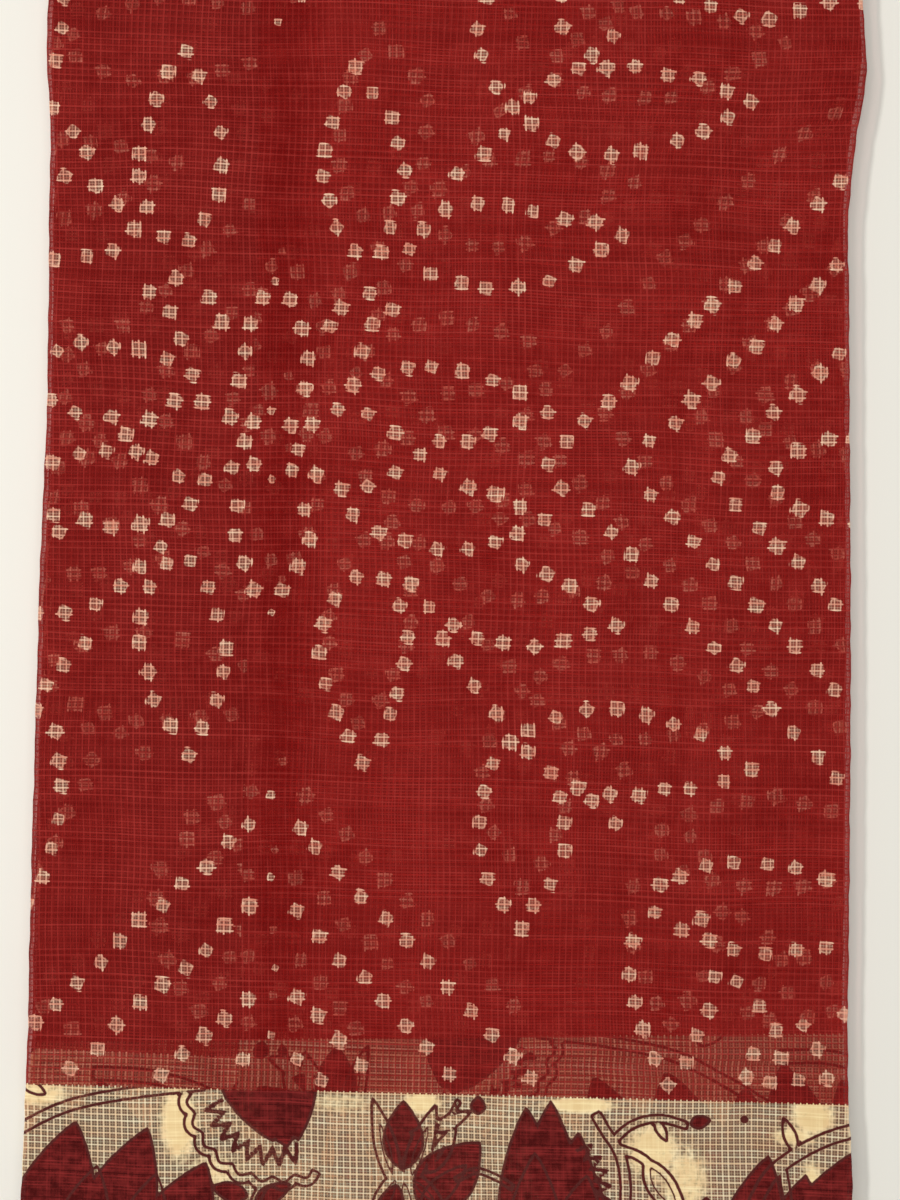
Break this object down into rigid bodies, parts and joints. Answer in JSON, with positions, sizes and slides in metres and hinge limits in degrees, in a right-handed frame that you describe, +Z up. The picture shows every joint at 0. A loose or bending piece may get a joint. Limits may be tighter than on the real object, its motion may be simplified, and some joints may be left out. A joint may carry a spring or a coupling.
{
  "type": "folded sari",
  "caption": "Sheer check-weave cotton sari with rows of small dots and a printed lotus border, folded back and forth into a flat pile.",
  "frame": {"origin": "middle of the base of the folded pile, on the surface that it lies on", "axes": "+X across the folded pile from its left creases to its right ones, +Y along the creases from the lower selvedge to the upper one, +Z up"},
  "size_m": [0.532, 1.164, 0.0202],
  "materials": {
    "printed_cotton": "matte"
  },
  "bodies": {
    "root": {"folded_sari": "printed_cotton"}
  },
  "joints": []
}
